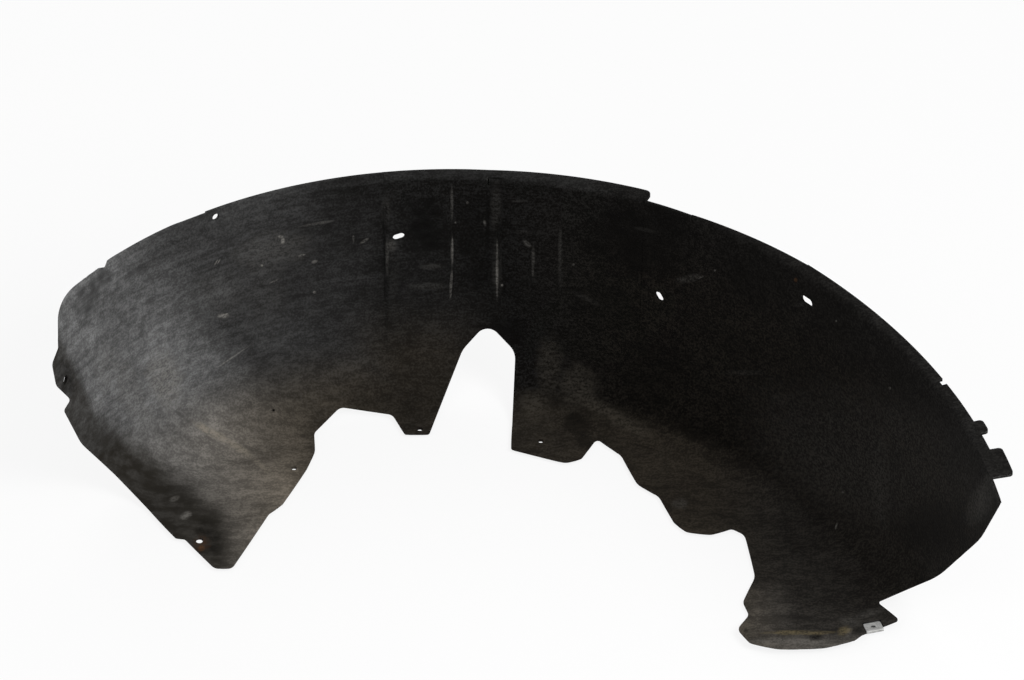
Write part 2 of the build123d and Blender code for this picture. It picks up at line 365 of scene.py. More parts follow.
# The dusty left of the roof, its crease and the left foot.
LEFT_MARKS = (
    Mark(-204.6, 376.4, 10.8, 7.2, Tone.DARK, 0.38),
    Mark(-284.4, 349.4, 12.6, 6.3, Tone.DARK, 0.38),
    Mark(-315.0, 343.4, 14.4, 8.1, Tone.DARK, 0.60, 30),
    Mark(-333.9, 330.5, 8.1, 11.7, Tone.DARK, 0.30),
    Mark(-153.0, 377.3, 2.0, 3.6, Tone.LIGHT, 0.90),
    Mark(-154.8, 380.9, 2.7, 1.8, Tone.LIGHT, 0.70),
    Mark(-171.9, 354.8, 1.2, 1.2, Tone.LIGHT, 0.80),
    Mark(-121.5, 393.0, 18.0, 1.4, Tone.LIGHT, 0.16, 10),
    Mark(-135.9, 364.2, 3.6, 1.1, Tone.LIGHT, 0.45, 15),
    Mark(-124.7, 358.4, 3.1, 1.8, Tone.LIGHT, 0.40, 20),
    Mark(-213.3, 357.5, 3.4, 0.7, Tone.LIGHT, 0.70, 58),
    Mark(-210.8, 358.4, 2.9, 0.6, Tone.LIGHT, 0.60, 58),
    Mark(-161.6, 340.4, 5.4, 0.8, Tone.LIGHT, 0.35, 25),
    Mark(-207.0, 309.2, 5.9, 2.2, Tone.LIGHT, 0.60),
    Mark(-203.8, 310.2, 1.8, 1.4, Tone.LIGHT, 0.90),
    Mark(-124.6, 330.6, 1.7, 1.4, Tone.LIGHT, 0.80),
    Mark(-199.8, 271.1, 18.9, 0.7, Tone.LIGHT, 0.45, 34),
    Mark(-162.0, 223.4, 1.5, 1.4, Tone.DARK, 0.95),
    Mark(-162.9, 368.3, 39.6, 18.0, Tone.LIGHT, 0.100, 12),
    Mark(-170.1, 350.3, 27.0, 7.2, Tone.LIGHT, 0.060, 15),
    Mark(-216.9, 202.7, 21.6, 4.1, Tone.WARM, 0.62, -29),
    Mark(-193.5, 189.2, 19.8, 3.8, Tone.WARM, 0.52, -34),
    Mark(-170.1, 171.2, 18.0, 3.1, Tone.WARM, 0.38, -41),
    Mark(-245.7, 218.9, 16.2, 1.4, Tone.DARK, 0.3, -36),
    Mark(-211.5, 192.8, 23.4, 1.4, Tone.DARK, 0.26, -31),
    Mark(-240.8, 128.3, 6.3, 3.6, Tone.LIGHT, 0.45, 25),
    Mark(-251.1, 143.3, 5.4, 2.7, Tone.LIGHT, 0.26, 25),
    Mark(-220.5, 106.4, 13.5, 17.1, Tone.DARK, 0.55, 20),
    Mark(-225.9, 99.6, 4.0, 3.6, Tone.RUST, 0.80),
    Mark(-225.9, 103.7, 9.0, 8.1, Tone.RUST, 0.32),
    Mark(-260.1, 251.3, 18.0, 28.8, Tone.LIGHT, 0.42, 10),
    Mark(-288.9, 237.8, 14.4, 43.2, Tone.LIGHT, 0.16, 25),
    Mark(-328.5, 319.7, 14.4, 19.8, Tone.DARK, 0.42, -25),
    Mark(-317.7, 337.7, 11.7, 12.6, Tone.DARK, 0.6, -30),
    Mark(-153.0, 376.4, 13.5, 8.1, Tone.LIGHT, 0.1, 10),
    Mark(-170.1, 332.3, 23.4, 30.6, Tone.LIGHT, 0.035),
    Mark(-312.3, 262.1, 10.8, 23.4, Tone.LIGHT, 0.12),
    Mark(-209.7, 330.5, 27.0, 23.4, Tone.LIGHT, 0.05),
    Mark(-347.9, 252.2, 8.1, 18.9, Tone.DARK, 0.80, 8),
    Mark(-79.2, 377.3, 4.5, 1.3, Tone.LIGHT, 0.28, 30),
    Mark(-89.1, 379.1, 1.0, 4.0, Tone.LIGHT, 0.20),
)
# The pads at the crown, and the lip over them; the dark marks are painted shade in the channel
# between the pads, along their edges and in the dart at the lip.
CROWN_MARKS = (
    Mark(-24.3, 388.1, 24.3, 36.0, Tone.DARK, 0.80),
    # Painted shade in the channel between the pads.
    Mark(17.1, 384.5, 15.3, 50.4, Tone.DARK, 0.42),
    Mark(-34.2, 396.0, 16.2, 30.6, Tone.DARK, 0.50),
    Mark(19.8, 348.5, 13.5, 18.0, Tone.DARK, 0.45),
    Mark(-52.2, 346.0, 5.4, 34.2, Tone.LIGHT, 0.030),
    Mark(-58.5, 362.9, 2.0, 18.0, Tone.LIGHT, 0.20),
    Mark(-59.4, 406.1, 5.0, 14.4, Tone.LIGHT, 0.050),
    Mark(-54.9, 372.8, 5.9, 5.9, Tone.LIGHT, 0.16, 15),
    Mark(-49.5, 337.7, 5.4, 21.6, Tone.DARK, 0.18),
    Mark(-36.9, 386.3, 8.1, 2.7, Tone.DARK, 0.60, 8),
    Mark(-22.5, 336.3, 19.8, 3.6, Tone.LIGHT, 0.070),
    Mark(-17.1, 354.3, 13.5, 3.2, Tone.LIGHT, 0.070, 3),
    Mark(-20.7, 317.9, 19.8, 1.5, Tone.DARK, 0.45, 2),
    Mark(0.3, 410.6, 1.5, 17.1, Tone.LIGHT, 0.11),
    Mark(0.5, 367.4, 1.4, 15.3, Tone.LIGHT, 0.52),
    Mark(-0.5, 338.6, 1.3, 15.3, Tone.LIGHT, 0.36, -3),
    Mark(32.4, 381.8, 2.2, 49.5, Tone.DARK, 0.70),
    Mark(40.5, 406.1, 5.4, 26.1, Tone.LIGHT, 0.055),
    Mark(41.4, 352.0, 1.6, 26.1, Tone.LIGHT, 0.88),
    Mark(41.4, 353.0, 5.0, 29.7, Tone.LIGHT, 0.095),
    Mark(68.4, 375.0, 5.4, 2.1, Tone.LIGHT, 0.15, -38),
    Mark(74.1, 362.0, 1.8, 11.7, Tone.LIGHT, 0.11),
    Mark(73.8, 349.4, 1.2, 5.4, Tone.LIGHT, 0.15),
    Mark(99.0, 361.1, 2.5, 29.7, Tone.LIGHT, 0.070),
    Mark(99.3, 369.2, 1.1, 18.9, Tone.LIGHT, 0.090),
    Mark(64.8, 385.4, 10.8, 1.8, Tone.LIGHT, 0.030),
    Mark(60.3, 413.3, 10.8, 1.5, Tone.LIGHT, 0.035),
    Mark(45.9, 337.2, 1.3, 1.3, Tone.LIGHT, 0.80),
    Mark(30.2, 393.5, 1.6, 3.2, Tone.LIGHT, 0.26, 15),
    Mark(14.4, 411.9, 1.4, 1.4, Tone.LIGHT, 0.25),
    Mark(3.6, 393.9, 1.1, 1.1, Tone.LIGHT, 0.30),
    Mark(110.7, 355.7, 1.4, 1.4, Tone.LIGHT, 0.20),
    Mark(32.7, 431.7, 0.8, 4.0, Tone.LIGHT, 0.22),
    # Painted shadow in the dart at the lip.
    Mark(41.4, 434.0, 9.0, 1.2, Tone.DARK, 0.85, -4),
)
# The right of the roof, and the flare; the dark marks are painted shade where they turn from the
# light.
RIGHT_MARKS = (
    Mark(144.9, 318.8, 45.0, 28.8, Tone.DARK, 0.4, -12),
    Mark(175.5, 387.2, 11.7, 2.0, Tone.LIGHT, 0.075, -12),
    Mark(123.3, 324.6, 14.4, 2.7, Tone.LIGHT, 0.050, -26),
    Mark(215.1, 343.1, 14.4, 4.0, Tone.LIGHT, 0.070, 10),
    Mark(225.9, 344.0, 3.6, 1.1, Tone.LIGHT, 0.22, 25),
    Mark(207.9, 342.2, 4.5, 1.3, Tone.LIGHT, 0.15, -10),
    Mark(238.5, 350.3, 1.1, 1.1, Tone.LIGHT, 0.40),
    Mark(311.1, 341.3, 1.8, 2.3, Tone.RUST, 0.45),
    Mark(315.0, 319.7, 5.4, 3.1, Tone.LIGHT, 0.050),
    Mark(347.4, 304.4, 1.1, 1.1, Tone.LIGHT, 0.30),
    Mark(264.6, 257.6, 22.5, 2.7, Tone.LIGHT, 0.030),
    Mark(395.1, 244.1, 1.2, 1.4, Tone.LIGHT, 0.30),
    Mark(401.4, 206.3, 13.5, 28.8, Tone.LIGHT, 0.045, 10),
    Mark(373.5, 184.7, 112.5, 61.2, Tone.LIGHT, 0.042, -20),
    Mark(474.3, 143.3, 10.8, 26.1, Tone.LIGHT, 0.085, -20),
    Mark(435.6, 119.0, 31.5, 31.5, Tone.DARK, 0.58, 35),
    Mark(354.3, 149.6, 1.3, 1.3, Tone.LIGHT, 0.25),
    Mark(348.3, 119.0, 0.9, 3.6, Tone.LIGHT, 0.30, -15),
    Mark(170.1, 377.3, 64.8, 46.8, Tone.DARK, 0.72, -14),
    Mark(278.1, 339.5, 52.2, 37.8, Tone.DARK, 0.3, -28),
    Mark(386.1, 166.7, 13.5, 55.8, Tone.LIGHT, 0.062, 4),
)
# The lobes to the right of the strut notch, with a painted shadow in the crease beside the notch
# and a painted highlight along its ridge.
LOBE_MARKS = (
    Mark(75.6, 228.8, 14.4, 15.3, Tone.WARM, 0.060),
    Mark(49.5, 295.4, 24.3, 16.2, Tone.DARK, 0.78),
    Mark(183.6, 255.8, 34.2, 50.4, Tone.DARK, 0.38),
    Mark(224.1, 204.5, 41.4, 15.3, Tone.DARK, 0.42, -32),
    # The warm streaks that run down to the right trace the crease's ridge: painted highlight.
    Mark(114.3, 245.9, 19.8, 21.6, Tone.WARM, 0.078),
    Mark(89.1, 263.9, 13.5, 30.6, Tone.WARM, 0.060),
    # Dark marks in the crease's valley: painted shadow.
    Mark(120.6, 195.5, 8.1, 8.1, Tone.DARK, 0.45),
    Mark(114.3, 210.8, 18.9, 11.7, Tone.DARK, 0.72, -35),
    Mark(134.1, 226.1, 41.4, 7.2, Tone.WARM, 0.080, -27),
    Mark(161.1, 209.9, 27.0, 8.1, Tone.WARM, 0.070, -25),
    Mark(171.9, 191.0, 15.3, 1.4, Tone.DARK, 0.55, -14),
    Mark(207.0, 138.8, 8.1, 5.4, Tone.LIGHT, 0.090),
    Mark(215.6, 123.8, 3.2, 2.2, Tone.DARK, 0.95),
)
# The foot that carries the clip nut.
FOOT_MARKS = (
    Mark(359.1, 33.5, 10.8, 4.5, Tone.LIGHT, 0.1, -10),
    Mark(376.2, 40.7, 15.3, 3.6, Tone.LIGHT, 0.1, 16),
    Mark(265.5, 25.4, 2.7, 2.7, Tone.DARK, 0.70),
    Mark(301.5, 35.3, 41.4, 5.0, Tone.DARK, 0.38),
    Mark(314.1, 23.6, 34.2, 2.3, Tone.MUD, 0.62),
    Mark(354.6, 25.4, 7.2, 4.5, Tone.MUD, 0.65, 20),
    Mark(328.5, 19.3, 7.2, 4.1, Tone.DARK, 0.80),
    Mark(343.8, 22.7, 4.5, 2.2, Tone.DARK, 0.45, 20),
    Mark(304.2, 16.4, 40.5, 3.6, Tone.LIGHT, 0.12),
    Mark(358.7, 25.4, 2.9, 7.2, Tone.LIGHT, 0.18, -20),
    # Painted shadow at the clip nut's left side.
    Mark(368.1, 24.5, 6.3, 4.5, Tone.DARK, 0.40),
)
MARKS = LEFT_MARKS + CROWN_MARKS + RIGHT_MARKS + LOBE_MARKS + FOOT_MARKS


@dataclass(frozen=True)
class FadingPatch:
    """Dust that fades along the sheet's directions, in millimetres from the axle; the lip's patch
    is a painted highlight instead.
    """

    across: Sequence[Step]
    height: Step
    up: Step | None = None

    def share(self, place: SheetPlace) -> Value:
        """Share of the patch at each point: the product of its steps."""
        made = place.height.ramp(self.height)
        for step in self.across:
            made = made * place.across.ramp(step)
        return made if self.up is None else made * place.up.ramp(self.up)


FOOT_FADE = Step(70.0, 8.0)
WALL_DUST = FadingPatch((Step(210.0, 400.0, 0.084, 0.042),), Step(22.0, 2.0))
CORNER_DUST = FadingPatch((Step(64.0, -24.0, 0.0, 0.076),), Step(150.0, 40.0))
BEND_DUST = FadingPatch((Step(240.0, 350.0, 0.0, 0.026),), Step(120.0, 32.0))
ROOF_DUST = FadingPatch((Step(36.0, -66.0, 0.0, 0.104),), Step(310.0, -101.0))
# Painted highlight along the lip's top, stronger towards the left.
LIP_HIGHLIGHT = FadingPatch((Step(170.0, 90.0, 0.012, 0.046),), Step(228.0, 233.8))
FOOT_DUST = FadingPatch((Step(240.0, 300.0),), FOOT_FADE, Step(75.0, 28.0, 0.0, 0.085))
HEEL_DUST = FadingPatch(
    (Step(232.0, 262.0), Step(338.0, 276.0)), FOOT_FADE, Step(88.0, 48.0, 0.0, 0.21)
)
TOE_DUST = FadingPatch((Step(240.0, 290.0),), FOOT_FADE, Step(30.0, 13.0, 0.0, 0.37))
SETTLED_DUST_AND_HIGHLIGHT = (
    WALL_DUST, CORNER_DUST, BEND_DUST, ROOF_DUST, LIP_HIGHLIGHT, FOOT_DUST, HEEL_DUST, TOE_DUST
)


@dataclass(frozen=True)
class DieLine:
    """A straight line on the trimming die's flat, in millimetres from the axle."""

    through: Pair
    normal: Pair

    def past(self, place: SheetPlace) -> Value:
        """Distance past the line."""
        aside = (place.across - self.through[0]) * self.normal[0]
        return aside + (place.up - self.through[1]) * self.normal[1]


@dataclass(frozen=True)
class FeltNoise:
    """The noises that the felt's colour, roughness and relief share."""

    fleck: Value
    strand: Value
    mottle: Value
    cloud: Value
    streak: Value
    fibre: Value


@dataclass(frozen=True)
class FeltFinish:
    """Black needled felt, greyed by road dust on the side towards the wheel, with painted shade and
    painted highlights among its marks and along the lip.
    """

    axle: Pair
    marks: Sequence[Mark] = MARKS
    fading_patches: Sequence[FadingPatch] = SETTLED_DUST_AND_HIGHLIGHT

    # Darker than the bare felt: painted shade, and a few dark spots.
    shade_and_dark: Colour = (0.0008, 0.0007, 0.0006)
    ground: Colour = (0.0026, 0.0023, 0.0019)
    fibre: Colour = (0.0096, 0.0094, 0.0090)
    worn_fibre: Colour = (0.0118, 0.0100, 0.0078)
    rear_ground: Colour = (0.0085, 0.0082, 0.0078)
    rear_fibre: Colour = (0.0470, 0.0458, 0.0438)
    end_band_colour: Colour = (0.0200, 0.0178, 0.0145)
    grey_dust_and_highlight: Colour = (0.204, 0.204, 0.204)
    warm_dust: Colour = (0.206, 0.170, 0.124)
    pale: Colour = (0.252, 0.240, 0.220)
    rust: Colour = (0.090, 0.042, 0.018)
    mud: Colour = (0.135, 0.108, 0.058)
    warm_pale: Colour = (0.250, 0.220, 0.175)

    fleck_scale: float = 540.0
    strand_scale: Triple = (150.0, 330.0, 400.0)
    mottle_scale: Triple = (60.0, 110.0, 110.0)
    cloud_scale: Triple = (10.0, 22.0, 22.0)
    streak_scale: Pair = (5.0, 0.2)
    streak_swing: Step = Step(0.34, 0.66, -1.0, 1.0)
    streak_depth: Step = Step(30.0, 80.0, 0.0, 0.17)
    fibre_weights: Triple = (0.50, 0.35, 0.15)
    fibre_step: Step = Step(0.38, 0.64)
    fibre_power: float = 1.4
    relief_weights: Triple = (0.55, 0.45, 0.60)
    relief_strength: float = 0.5
    relief_depth: float = 0.0012
    roughness: Step = Step(0.0, 1.0, 0.97, 0.88)

    rubbed_across: Step = Step(40.0, 180.0)
    rubbed_height: Step = Step(235.0, 140.0, 0.35, 1.0)
    bare_cloud: Step = Step(0.3, 0.7, 0.7, 1.3)
    warm_wall: Step = Step(75.0, 10.0)
    warm_wall_across: Step = Step(-310.0, -70.0, 0.15, 1.0)
    warm_crown: Step = Step(130.0, 40.0)
    warm_crown_across: Step = Step(-120.0, -40.0)
    warm_right: Step = Step(215.0, 320.0, 1.0, 0.45)

    thrown_edge: DieLine = DieLine((-207.9, 291.8), (-0.776, -0.631))
    thrown_fade: Step = Step(-20.0, 64.0, 0.0, 0.390)
    thrown_left: Step = Step(-44.0, -248.0, 0.0, 0.180)
    held_height: Step = Step(30.0, -10.0)
    held_across: Step = Step(-173.0, -147.0, 0.0, 0.62)
    dust_cloud: Step = Step(0.32, 0.68, 0.78, 1.18)
    dust_mottle: Step = Step(0.32, 0.68, 0.82, 1.17)
    dust_fibre: Step = Step(0.0, 1.0, 0.85, 1.30)

    end_band_upper: DieLine = DieLine((-344.7, 271.1), (-0.914, -0.406))
    end_band_upper_edge: Step = Step(-5.0, 4.0)
    end_band_lower: DieLine = DieLine((-315.9, 215.3), (-0.609, -0.793))
    end_band_lower_edge: Step = Step(-16.0, 14.0)
    end_band_lower_end: Step = Step(-188.0, -214.0, 0.30, 1.0)
    end_band_mottle: Step = Step(0.35, 0.65, 1.0, 0.88)

    mark_fraying: float = 1.5
    mark_weights: Pair = (0.5, 0.5)
    mark_breaks: Step = Step(0.36, 0.62, 0.25, 1.15)

    def material(self) -> bpy.types.Material:
        """Write the felt's nodes.

        Returns:
            The felt's material.
        """
        made, graph = new_material("pressed_felt")
        place = SheetPlace.read(graph, self.axle)
        noise = self._noises(graph, place)
        wheel_side = self._attribute(graph, "wheel_side")
        colour = self._bare(graph, place, noise)
        colour = graph.mix(self._dust_and_highlight(place, noise) * wheel_side, colour, self._tint(graph, place))
        end_band = self._darker_end_band(place) * wheel_side * noise.mottle.ramp(self.end_band_mottle)
        colour = graph.mix(end_band, colour, self.end_band_colour)
        colour = self._marked(graph, place, noise, wheel_side, colour)
        grain = (noise.fleck, noise.strand, noise.mottle)
        relief = graph.weighed(grain, self.relief_weights)
        graph.principled(
            {
                "Base Color": colour,
                "Roughness": noise.fibre.ramp(self.roughness),
                "Normal": graph.bump(relief, self.relief_strength, self.relief_depth),
                "Specular IOR Level": 0.035,
                "Sheen Weight": 0.010,
                "Sheen Roughness": 0.6,
            }
        )
        return made

    def _noises(self, graph: ShaderGraph, place: SheetPlace) -> FeltNoise:
        """Write the felt's noises.

        Args:
            graph: the felt's graph.
            place: where the point lies.

        Returns:
            The noises, with the streak around 1 and the fibre from 0 to 1.
        """
        fleck = graph.noise(place.socket, self.fleck_scale, detail=1.0)
        strand = graph.noise(graph.stretched(place.socket, self.strand_scale), detail=2.0)
        mottle = graph.noise(graph.stretched(place.socket, self.mottle_scale), detail=3.0)
        cloud = graph.noise(graph.stretched(place.socket, self.cloud_scale), detail=4.0)
        turn = graph.math("ARCTAN2", place.forward, place.across) * self.streak_scale[0]
        swept = {0: turn, 1: place.height * self.streak_scale[1]}
        along_arch = graph.node("ShaderNodeCombineXYZ", None, swept).outputs[0]
        swing = graph.noise(along_arch, detail=3.0).ramp(self.streak_swing)
        streak = swing * place.height.ramp(self.streak_depth) + 1.0
        fibre = graph.weighed((fleck, strand, mottle), self.fibre_weights).ramp(self.fibre_step)
        return FeltNoise(fleck, strand, mottle, cloud, streak, fibre)

    def _bare(
        self, graph: ShaderGraph, place: SheetPlace, noise: FeltNoise
    ) -> bpy.types.NodeSocket:
        """Colour the bare felt: rubbed brown low on the right, and plain on the rear.

        Args:
            graph: the felt's graph.
            place: where the point lies.
            noise: the felt's noises.

        Returns:
            The bare felt's colour.
        """
        rear_side = self._attribute(graph, "rear_side")
        rubbed = place.across.ramp(self.rubbed_across) * place.height.ramp(self.rubbed_height)
        thread = graph.mix(rubbed, self.fibre, self.worn_fibre)
        thread = graph.mix(rear_side, thread, self.rear_fibre)
        ground = graph.mix(rear_side, self.ground, self.rear_ground)
        share = noise.fibre ** self.fibre_power * noise.cloud.ramp(self.bare_cloud) * noise.streak
        return graph.mix(share, ground, thread)

    def _tint(self, graph: ShaderGraph, place: SheetPlace) -> bpy.types.NodeSocket:
        """Colour of the dust and of the painted lip highlight: grey on the roof and the lip, warm
        on the wall and over the strut notch.
        """
        warmth = place.height.ramp(self.warm_wall) * place.across.ramp(self.warm_wall_across)
        crown = place.height.ramp(self.warm_crown) * place.across.ramp(self.warm_crown_across)
        warmth = warmth.over(crown) * place.across.ramp(self.warm_right)
        return graph.mix(warmth, self.grey_dust_and_highlight, self.warm_dust)

    def _dust_and_highlight(self, place: SheetPlace, noise: FeltNoise) -> Value:
        """Share of dust, and of the painted lip highlight, over the felt.

        Args:
            place: where the point lies.
            noise: the felt's noises.

        Returns:
            Thrown dust, dust lying on the sheet and the painted lip highlight, broken by the
            noises.
        """
        held = place.height.ramp(self.held_height) * place.across.ramp(self.held_across) + 1.0
        dust = self._thrown_dust(place) * held + self._settled_dust_and_highlight(place)
        dust = dust * noise.cloud.ramp(self.dust_cloud) * noise.mottle.ramp(self.dust_mottle)
        return dust * noise.fibre.ramp(self.dust_fibre) * noise.streak

    def _thrown_dust(self, place: SheetPlace) -> Value:
        """Grey dust thrown on the left of the roof, fading out before the crown."""
        slanted = self.thrown_edge.past(place).ramp(self.thrown_fade)
        return slanted + place.across.ramp(self.thrown_left)

    def _settled_dust_and_highlight(self, place: SheetPlace) -> Value:
        """Dust that lies on the wall, the corner above it, the roof and the foot, and a painted
        highlight along the lip's top.
        """
        shares = [patch.share(place) for patch in self.fading_patches]
        whole = shares[0]
        for share in shares[1:]:
            whole = whole.over(share)
        return whole

    def _darker_end_band(self, place: SheetPlace) -> Value:
        """A band along the lower left end, where the dusted felt is turned back to a plain dark
        colour.
        """
        upper = self.end_band_upper.past(place).ramp(self.end_band_upper_edge)
        lower = self.end_band_lower.past(place).ramp(self.end_band_lower_edge)
        return upper.over(lower * place.across.ramp(self.end_band_lower_end))

    def _marked(
        self,
        graph: ShaderGraph,
        place: SheetPlace,
        noise: FeltNoise,
        wheel_side: Value,
        colour: bpy.types.NodeSocket,
    ) -> bpy.types.NodeSocket:
        """Lay the marks over the dusted felt, one tone after the other.

        Args:
            graph: the felt's graph.
            place: where the point lies.
            noise: the felt's noises.
            wheel_side: 1 on the side towards the wheel.
            colour: the dusted felt.

        Returns:
            The marked felt's colour.
        """
        frayed = (noise.fleck + noise.mottle - 1.0) * self.mark_fraying
        grain = graph.weighed((noise.fleck, noise.strand), self.mark_weights)
        broken = grain.ramp(self.mark_breaks)
        for tone in Tone:
            whole: Value | float = 0.0
            for mark in self.marks:
                if mark.tone is tone:
                    whole = mark.share(graph, place, frayed).over(whole)
            colour = graph.mix(whole * wheel_side * broken, colour, self._tone(tone))
        return colour

    def _tone(self, tone: Tone) -> Colour:
        """The colour that a mark moves the felt to."""
        tones = {
            Tone.LIGHT: self.pale,
            Tone.DARK: self.shade_and_dark,
            Tone.RUST: self.rust,
            Tone.MUD: self.mud,
            Tone.WARM: self.warm_pale,
        }
        return tones[tone]

    @staticmethod
    def _attribute(graph: ShaderGraph, name: str) -> Value:
        """A number that the mesh carries."""
        made = graph.node("ShaderNodeAttribute", {"attribute_name": name})
        return Value(graph, made.outputs["Fac"])


@dataclass(frozen=True)
class SpringSteelFinish:
    """Dull zinc-phosphated spring steel with a fine brushed grain."""

    light: Colour = (0.46, 0.46, 0.45)
    dark: Colour = (0.30, 0.30, 0.29)
    brush_scale: Triple = (300.0, 5000.0, 900.0)
    brush_strength: float = 0.2
    brush_depth: float = 0.00012
    cloud_scale: float = 260.0
    tarnish_weights: Pair = (0.4, 0.6)
    tarnish_step: Step = Step(0.36, 0.64)
    roughness: Step = Step(0.0, 1.0, 0.48, 0.66)

    def material(self) -> bpy.types.Material:
        """Write the steel's nodes.

        Returns:
            The steel's material.
        """
        made, graph = new_material("clip_spring_steel")
        place = graph.place()
        brush = graph.noise(graph.stretched(place, self.brush_scale))
        cloud = graph.noise(place, self.cloud_scale, detail=3.0)
        tarnish = graph.weighed((brush, cloud), self.tarnish_weights).ramp(self.tarnish_step)
        graph.principled(
            {
                "Base Color": graph.mix(tarnish, self.light, self.dark),
                "Metallic": 0.25,
                "Roughness": tarnish.ramp(self.roughness),
                "Normal": graph.bump(brush, self.brush_strength, self.brush_depth),
            }
        )
        return made


def merged_copy(node: str, name: str) -> bpy.types.Object:
    """Copy a CAD node's mesh into a new piece and weld its loose triangles.

    Args:
        node: CAD node.
        name: the new piece's name.

    Returns:
        The piece, active and alone in the selection.
    """
    bpy.ops.object.select_all(action="DESELECT")
    piece = bpy.data.objects.new(name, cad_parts[node].data.copy())
    bpy.context.scene.collection.objects.link(piece)
    bpy.context.view_layer.objects.active = piece
    piece.select_set(True)
    piece.data.materials.clear()
    bpy.ops.object.mode_set(mode="EDIT")
    bpy.ops.mesh.select_all(action="SELECT")
    bpy.ops.mesh.customdata_custom_splitnormals_clear()
    bpy.ops.mesh.remove_doubles(threshold=WELD_GAP)
    bpy.ops.object.mode_set(mode="OBJECT")
    return piece


def corner_points(mesh: bpy.types.Mesh) -> np.ndarray:
    """The vertex at each corner of a mesh's faces."""
    corners = np.empty(len(mesh.loops), dtype=np.int64)
    mesh.loops.foreach_get("vertex_index", corners)
    return corners


def corner_leans(mesh: bpy.types.Mesh) -> np.ndarray:
    """The normal at each corner of a mesh's faces."""
    return np.array([corner.vector[:] for corner in mesh.corner_normals])


@dataclass
class Facets:
    """The triangles of a sheet, with a normal at each of their corners."""

    points: np.ndarray
    faces: np.ndarray
    normals: np.ndarray
    smooth_share: float = 0.99

    @classmethod
    def read(cls, mesh: bpy.types.Mesh) -> "Facets":
        """Take the triangles of a mesh.

        Args:
            mesh: a mesh of triangles.

        Returns:
            The facets.
        """
        points = np.array([point.co[:] for point in mesh.vertices])
        return cls(points, corner_points(mesh).reshape(-1, 3), corner_leans(mesh).reshape(-1, 3, 3))

    def mesh(self, name: str) -> bpy.types.Mesh:
        """Write the facets as a smooth mesh that keeps their normals.

        Args:
            name: the mesh's name.

        Returns:
            The mesh.
        """
        made = bpy.data.meshes.new(name)
        made.from_pydata(self.points.tolist(), [], self.faces.tolist(), shade_flat=False)
        made.normals_split_custom_set(self.normals.reshape(-1, 3).tolist())
        return made

    def halve(self, longest: float, chord: float) -> bool:
        """Halve every edge that is too long and bow its middle onto the curve.

        Args:
            longest: length over which an edge is halved, m.
            chord: the most that a middle is moved, m.

        Returns:
            Whether anything was halved.
        """
        ends = np.stack([self.faces, np.roll(self.faces, -1, axis=1)], axis=2).reshape(-1, 2)
        lean = np.stack([self.normals, np.roll(self.normals, -1, axis=1)], axis=2)
        lean = lean.reshape(-1, 2, 3)
        edges, which = np.unique(np.sort(ends, axis=1), axis=0, return_inverse=True)
        which = which.reshape(-1)
        first, last = self.points[edges[:, 0]], self.points[edges[:, 1]]
        chosen = np.linalg.norm(last - first, axis=1) > longest
        if not chosen.any():
            return False
        middle_lean = lean.sum(axis=1)
        middle_lean /= np.maximum(np.linalg.norm(middle_lean, axis=1, keepdims=True), TINY)
        shared = np.zeros((len(edges), 3))
        np.add.at(shared, which, middle_lean)
        bow = np.zeros((len(edges), 3))
        np.add.at(bow, which, self._bows(ends, lean, chord))
        bow[np.linalg.norm(shared, axis=1) > 2.0 * self.smooth_share] *= 0.5
        fresh = np.full(len(edges), -1)
        fresh[chosen] = len(self.points) + np.arange(int(chosen.sum()))
        self.points = np.vstack([self.points, (0.5 * (first + last) + bow)[chosen]])
        self._cut(fresh[which].reshape(-1, 3), middle_lean.reshape(-1, 3, 3))
        return True

    def _bows(self, ends: np.ndarray, lean: np.ndarray, chord: float) -> np.ndarray:
        """How far the middle of each face's edge stands off its chord.

        Args:
            ends: the two vertices of each edge.
            lean: the normals at these.
            chord: the most that a middle is moved, m.

        Returns:
            The offsets.
        """
        half = 0.5 * (self.points[ends[:, 1]] - self.points[ends[:, 0]])
        first = -np.einsum("ij,ij->i", half, lean[:, 0])[:, None] * lean[:, 0]
        last = np.einsum("ij,ij->i", half, lean[:, 1])[:, None] * lean[:, 1]
        bow = 0.25 * (first + last)
        size = np.linalg.norm(bow, axis=1, keepdims=True)
        return bow * np.minimum(1.0, chord / np.maximum(size, TINY))

    def _cut(self, middles: np.ndarray, middle_lean: np.ndarray) -> None:
        """Replace the facets by smaller ones.

        Args:
            middles: the new vertex in the middle of each face's edges, or -1.
            middle_lean: the normals there.
        """
        whole = (middles < 0).all(axis=1)
        faces, normals = [self.faces[whole]], [self.normals[whole]]
        for turn in range(3):
            order = [(turn + step) % 3 for step in range(3)]
            corner, middle = self.faces[:, order], middles[:, order]
            corner_lean, halfway_lean = self.normals[:, order], middle_lean[:, order]
            halved = middle >= 0
            masks = {
                Cut.ONE: halved[:, 0] & ~halved[:, 1] & ~halved[:, 2],
                Cut.TWO: halved[:, 0] & halved[:, 1] & ~halved[:, 2],
                Cut.THREE: halved.all(axis=1) & (turn == 0),
            }
            for cut, mask in masks.items():
                for facet in cut.value:
                    picks = [(key[0] == "v", int(key[1])) for key in facet.split()]
                    ids = [(corner if own else middle)[mask, at] for own, at in picks]
                    dirs = [(corner_lean if own else halfway_lean)[mask, at] for own, at in picks]
                    faces.append(np.stack(ids, axis=1))
                    normals.append(np.stack(dirs, axis=1))
        self.faces, self.normals = np.vstack(faces), np.concatenate(normals)


